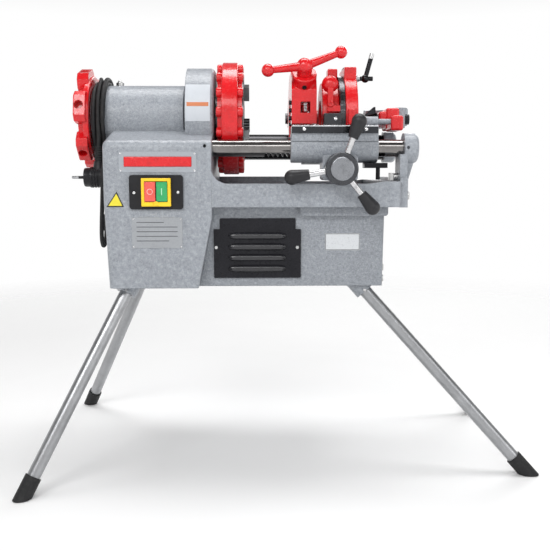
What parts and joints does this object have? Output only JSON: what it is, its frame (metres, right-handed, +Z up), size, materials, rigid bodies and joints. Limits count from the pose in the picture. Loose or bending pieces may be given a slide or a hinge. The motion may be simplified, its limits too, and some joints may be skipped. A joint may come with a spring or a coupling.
{
  "type": "pipe threading machine",
  "caption": "Bench-high pipe threading machine on four splayed legs, with hammer chuck, swing-over pipe cutter, die head and reamer on a rack-fed carriage.",
  "frame": {"origin": "on the floor under the middle of the four feet", "axes": "+X along the spindle from the rear chuck to the end bracket, +Y to the back, +Z up"},
  "size_m": [0.8465, 0.5252, 0.7073],
  "materials": {
    "casting_paint": "speckled satin paint",
    "red_paint": "glossy paint",
    "dark_steel": "dark ground steel",
    "bright_steel": "machined",
    "chrome": "polished",
    "tube_steel": "satin tube",
    "bronze": "machined",
    "black_plastic": "satin",
    "black_panel": "satin black paint",
    "black_rubber": "matt",
    "yellow_plastic": "satin",
    "red_plastic": "gloss",
    "green_plastic": "gloss",
    "plate_metal": "brushed"
  },
  "bodies": {
    "frame": {"headstock_casting": "casting_paint", "chip_tray": "casting_paint", "motor_housing": "casting_paint", "end_bracket": "casting_paint", "front_rack_bar": "bright_steel", "rear_bar": "dark_steel", "rear_cover": "casting_paint", "vent_grille": "black_panel", "switch_plate": "black_plastic", "switch_frame": "yellow_plastic", "blank_plates": "plate_metal", "body_bolts": "dark_steel", "leg_tubes": "tube_steel", "foot_caps": "black_rubber", "motor_body": "casting_paint", "spindle_bushes": "bronze", "cord_gland": "black_plastic", "cord_tube": "black_rubber", "cord_coil": "black_rubber", "plug_body": "black_rubber"},
    "spindle": {"spindle_tube": "bright_steel", "spindle_gear": "dark_steel", "chuck_body": "dark_steel"},
    "hammer_wheel": {"hammer_wheel": "red_paint"},
    "rear_wheel": {"rear_chuck_wheel": "red_paint"},
    "upper_gear": {"upper_gear_shaft": "dark_steel"},
    "lower_gear": {"lower_gear_shaft": "dark_steel"},
    "motor": {"motor_rotor": "dark_steel"},
    "carriage": {"carriage_casting": "casting_paint", "way_strip": "chrome", "hinge_shaft": "dark_steel", "guide_blocks": "dark_steel"},
    "handwheel": {"feed_pinion": "bright_steel", "handwheel_hub": "bright_steel", "handwheel_grips": "black_plastic"},
    "cutter": {"cutter_frame": "red_paint", "cutter_pins": "dark_steel"},
    "upper_roller": {"upper_roller": "bright_steel"},
    "lower_roller": {"lower_roller": "bright_steel"},
    "cutter_slide": {"cutter_slide": "dark_steel"},
    "cutting_wheel": {"cutting_wheel": "bright_steel"},
    "cutter_handle": {"cutter_handle": "red_paint"},
    "die_head": {"die_head_body": "red_paint"},
    "cam": {"cam_ring": "dark_steel"},
    "lock_lever": {"lock_lever": "black_plastic"},
    "reamer_arm": {"reamer_arm": "casting_paint", "reamer_block": "red_paint"},
    "reamer": {"reamer": "dark_steel"},
    "stop_button": {"stop_button": "red_plastic"},
    "start_button": {"start_button": "green_plastic"},
    "front_jaw_1": {"front_jaw_1": "dark_steel"},
    "rear_jaw_1": {"rear_jaw_1": "dark_steel"},
    "front_jaw_2": {"front_jaw_2": "dark_steel"},
    "rear_jaw_2": {"rear_jaw_2": "dark_steel"},
    "front_jaw_3": {"front_jaw_3": "dark_steel"},
    "rear_jaw_3": {"rear_jaw_3": "dark_steel"},
    "die_1": {"die_1": "bright_steel"},
    "die_2": {"die_2": "bright_steel"},
    "die_3": {"die_3": "bright_steel"},
    "die_4": {"die_4": "bright_steel"}
  },
  "joints": [
    {"name": "spindle_turn", "type": "hinge", "parent": "frame", "child": "spindle", "pos_m": [-0.2, 0, 0.5915], "axis": [1, 0, 0], "continuous": true},
    {"name": "upper_gear_turn", "type": "hinge", "parent": "frame", "child": "upper_gear", "pos_m": [-0.17, 0, 0.4965], "axis": [1, 0, 0], "continuous": true},
    {"name": "lower_gear_turn", "type": "hinge", "parent": "frame", "child": "lower_gear", "pos_m": [-0.17, 0, 0.4345], "axis": [1, 0, 0], "continuous": true},
    {"name": "motor_turn", "type": "hinge", "parent": "frame", "child": "motor", "pos_m": [-0.05, 0, 0.37525], "axis": [1, 0, 0], "continuous": true},
    {"name": "hammer_wheel_turn", "type": "hinge", "parent": "spindle", "child": "hammer_wheel", "pos_m": [-0.09, 0, 0.5915], "axis": [1, 0, 0], "range_deg": [0, 150]},
    {"name": "front_jaw_1_slide", "type": "slide", "parent": "spindle", "child": "front_jaw_1", "axis": [0, 0.342, -0.9397], "range_m": [0, 0.018]},
    {"name": "front_jaw_2_slide", "type": "slide", "parent": "spindle", "child": "front_jaw_2", "axis": [0, 0.6428, 0.766], "range_m": [0, 0.018]},
    {"name": "front_jaw_3_slide", "type": "slide", "parent": "spindle", "child": "front_jaw_3", "axis": [0, -0.9848, 0.1736], "range_m": [0, 0.018]},
    {"name": "rear_wheel_turn", "type": "hinge", "parent": "spindle", "child": "rear_wheel", "pos_m": [-0.34, 0, 0.5915], "axis": [1, 0, 0], "range_deg": [0, 120]},
    {"name": "rear_jaw_1_slide", "type": "slide", "parent": "spindle", "child": "rear_jaw_1", "axis": [0, 0.342, -0.9397], "range_m": [0, 0.014]},
    {"name": "rear_jaw_2_slide", "type": "slide", "parent": "spindle", "child": "rear_jaw_2", "axis": [0, 0.6428, 0.766], "range_m": [0, 0.014]},
    {"name": "rear_jaw_3_slide", "type": "slide", "parent": "spindle", "child": "rear_jaw_3", "axis": [0, -0.9848, 0.1736], "range_m": [0, 0.014]},
    {"name": "carriage_slide", "type": "slide", "parent": "frame", "child": "carriage", "axis": [1, 0, 0], "range_m": [-0.056, 0.015]},
    {"name": "handwheel_turn", "type": "hinge", "parent": "carriage", "child": "handwheel", "pos_m": [0.0875, -0.16, 0.5045], "axis": [0, -1, 0], "range_deg": [-143, 39]},
    {"name": "cutter_swing", "type": "hinge", "parent": "carriage", "child": "cutter", "pos_m": [0.034, 0.118, 0.6], "axis": [-1, 0, 0], "range_deg": [0, 100]},
    {"name": "upper_roller_turn", "type": "hinge", "parent": "cutter", "child": "upper_roller", "pos_m": [0.034, 0.0386, 0.58469], "axis": [1, 0, 0], "continuous": true},
    {"name": "lower_roller_turn", "type": "hinge", "parent": "cutter", "child": "lower_roller", "pos_m": [0.034, 0.0184, 0.55689], "axis": [1, 0, 0], "continuous": true},
    {"name": "cutter_screw_turn", "type": "hinge", "parent": "cutter", "child": "cutter_handle", "pos_m": [0.034, -0.07778, 0.66928], "axis": [0, -0.7071, 0.7071], "range_deg": [0, 2160]},
    {"name": "cutter_slide_travel", "type": "slide", "parent": "cutter", "child": "cutter_slide", "axis": [0, 0.7071, -0.7071], "range_m": [0, 0.015]},
    {"name": "cutting_wheel_turn", "type": "hinge", "parent": "cutter_slide", "child": "cutting_wheel", "pos_m": [0.034, -0.03606, 0.62756], "axis": [1, 0, 0], "continuous": true},
    {"name": "die_head_swing", "type": "hinge", "parent": "carriage", "child": "die_head", "pos_m": [0.1, 0.118, 0.6], "axis": [-1, 0, 0], "range_deg": [0, 100]},
    {"name": "cam_turn", "type": "hinge", "parent": "die_head", "child": "cam", "pos_m": [0.1, 0, 0.5915], "axis": [-1, 0, 0], "range_deg": [0, 22]},
    {"name": "die_1_slide", "type": "slide", "parent": "die_head", "child": "die_1", "axis": [0, 0.7071, -0.7071], "range_m": [0, 0.0045]},
    {"name": "die_2_slide", "type": "slide", "parent": "die_head", "child": "die_2", "axis": [0, 0.7071, 0.7071], "range_m": [0, 0.0045]},
    {"name": "die_3_slide", "type": "slide", "parent": "die_head", "child": "die_3", "axis": [0, -0.7071, 0.7071], "range_m": [0, 0.0045]},
    {"name": "die_4_slide", "type": "slide", "parent": "die_head", "child": "die_4", "axis": [0, -0.7071, -0.7071], "range_m": [0, 0.0045]},
    {"name": "lock_lever_turn", "type": "hinge", "parent": "die_head", "child": "lock_lever", "pos_m": [0.14, -0.018, 0.66], "axis": [1, 0, 0], "range_deg": [-40, 40]},
    {"name": "reamer_swing", "type": "hinge", "parent": "carriage", "child": "reamer_arm", "pos_m": [0.2, 0.118, 0.6], "axis": [-1, 0, 0], "range_deg": [0, 100]},
    {"name": "reamer_slide", "type": "slide", "parent": "reamer_arm", "child": "reamer", "axis": [-1, 0, 0], "range_m": [0, 0.03]},
    {"name": "stop_button_press", "type": "slide", "parent": "frame", "child": "stop_button", "axis": [0, 1, 0], "range_m": [0, 0.003], "stiffness_N_per_m": 400},
    {"name": "start_button_press", "type": "slide", "parent": "frame", "child": "start_button", "axis": [0, 1, 0], "range_m": [0, 0.003], "stiffness_N_per_m": 400}
  ],
  "couplings": [
    {"joint": "upper_gear_turn", "follows": "spindle_turn", "ratio": -3.75},
    {"joint": "lower_gear_turn", "follows": "spindle_turn", "ratio": 15.625},
    {"joint": "motor_turn", "follows": "spindle_turn", "ratio": -79.327},
    {"joint": "front_jaw_1_slide", "follows": "hammer_wheel_turn", "m_per_rad": 0.0068755},
    {"joint": "front_jaw_2_slide", "follows": "hammer_wheel_turn", "m_per_rad": 0.0068755},
    {"joint": "front_jaw_3_slide", "follows": "hammer_wheel_turn", "m_per_rad": 0.0068755},
    {"joint": "rear_jaw_1_slide", "follows": "rear_wheel_turn", "m_per_rad": 0.0066845},
    {"joint": "rear_jaw_2_slide", "follows": "rear_wheel_turn", "m_per_rad": 0.0066845},
    {"joint": "rear_jaw_3_slide", "follows": "rear_wheel_turn", "m_per_rad": 0.0066845},
    {"joint": "handwheel_turn", "follows": "carriage_slide", "rad_per_m": 44.444},
    {"joint": "cutter_slide_travel", "follows": "cutter_screw_turn", "m_per_rad": 0.00039789},
    {"joint": "die_1_slide", "follows": "cam_turn", "m_per_rad": 0.01172},
    {"joint": "die_2_slide", "follows": "cam_turn", "m_per_rad": 0.01172},
    {"joint": "die_3_slide", "follows": "cam_turn", "m_per_rad": 0.01172},
    {"joint": "die_4_slide", "follows": "cam_turn", "m_per_rad": 0.01172}
  ]
}
